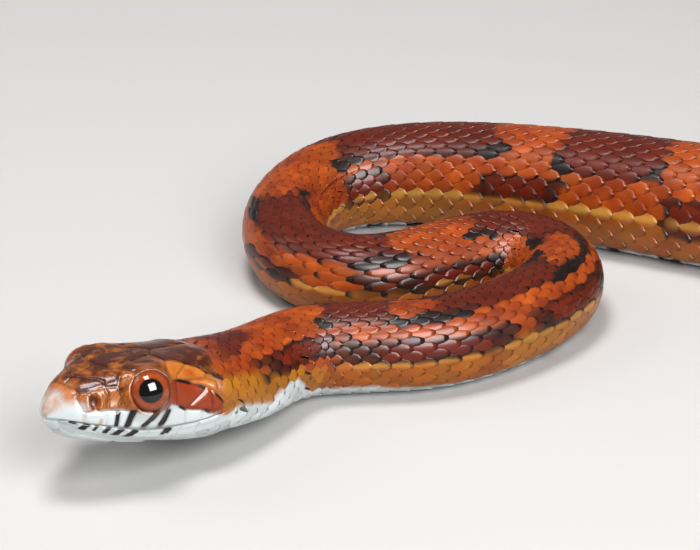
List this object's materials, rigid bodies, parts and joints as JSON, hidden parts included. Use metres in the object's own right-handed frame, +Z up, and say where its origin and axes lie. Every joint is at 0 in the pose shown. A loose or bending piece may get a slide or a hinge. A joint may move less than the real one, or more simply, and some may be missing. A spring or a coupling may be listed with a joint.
{
  "type": "corn snake",
  "caption": "Life-size still model of a young corn snake lying on a floor, head slightly raised, mouth closed, front in loops and the rest in a flat coil.",
  "frame": {"origin": "centre of the snake's box in plan, at the level of the floor it lies on", "axes": "+Z up from the floor; +X along the snake's longest extent, from the snout's end to the coil's end; +Y away from the pictured side"},
  "size_m": [0.202, 0.1264, 0.0138],
  "materials": {
    "snake_skin": "satin smooth scales, orange with dark red saddles",
    "jaw_skin": "satin smooth scales, cream",
    "eye": "glossy"
  },
  "bodies": {
    "root": {"head": "snake_skin", "lower_jaw": "jaw_skin", "eye_left": "eye", "eye_right": "eye", "neck": "snake_skin", "body_01": "snake_skin", "body_02": "snake_skin", "body_03": "snake_skin", "body_04": "snake_skin", "body_05": "snake_skin", "body_06": "snake_skin", "body_07": "snake_skin", "body_08": "snake_skin", "body_09": "snake_skin", "body_10": "snake_skin", "body_11": "snake_skin", "body_12": "snake_skin", "body_13": "snake_skin", "body_14": "snake_skin", "tail_base": "snake_skin", "tail_middle": "snake_skin", "tail_tip": "snake_skin"}
  },
  "joints": []
}
